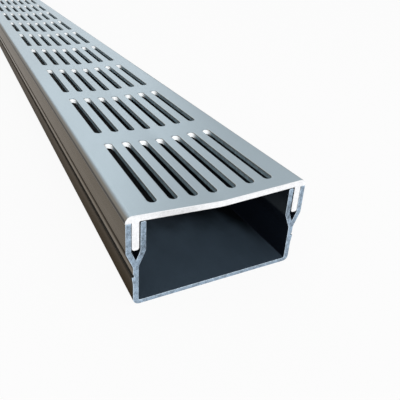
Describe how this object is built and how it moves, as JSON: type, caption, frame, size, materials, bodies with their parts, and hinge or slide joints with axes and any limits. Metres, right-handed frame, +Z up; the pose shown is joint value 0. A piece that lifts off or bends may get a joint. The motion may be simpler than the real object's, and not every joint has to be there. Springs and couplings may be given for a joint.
{
  "type": "slotted channel drain",
  "caption": "Shallow extruded channel with forked side walls and a dished, slotted lift-off grate whose legs drop into the forks.",
  "frame": {"origin": "middle of the underside of the channel's floor, at mid-length and mid-width", "axes": "+Y runs along the drain, away from the end that the picture shows; +X runs across it; +Z points up, from the floor to the grate"},
  "size_m": [0.0656, 1, 0.0335],
  "materials": {
    "channel_aluminium": "mill-finish extrusion, dark and dull inside, bright at the sawn ends",
    "grate_aluminium": "satin anodised, bright at the sawn ends and in the punched slots"
  },
  "bodies": {
    "channel": {"channel_body": "channel_aluminium"},
    "grate": {"grate": "grate_aluminium"}
  },
  "joints": [
    {"name": "grate_lift", "type": "slide", "parent": "channel", "child": "grate", "axis": [0, 0, 1], "range_m": [0, 0.02]}
  ]
}
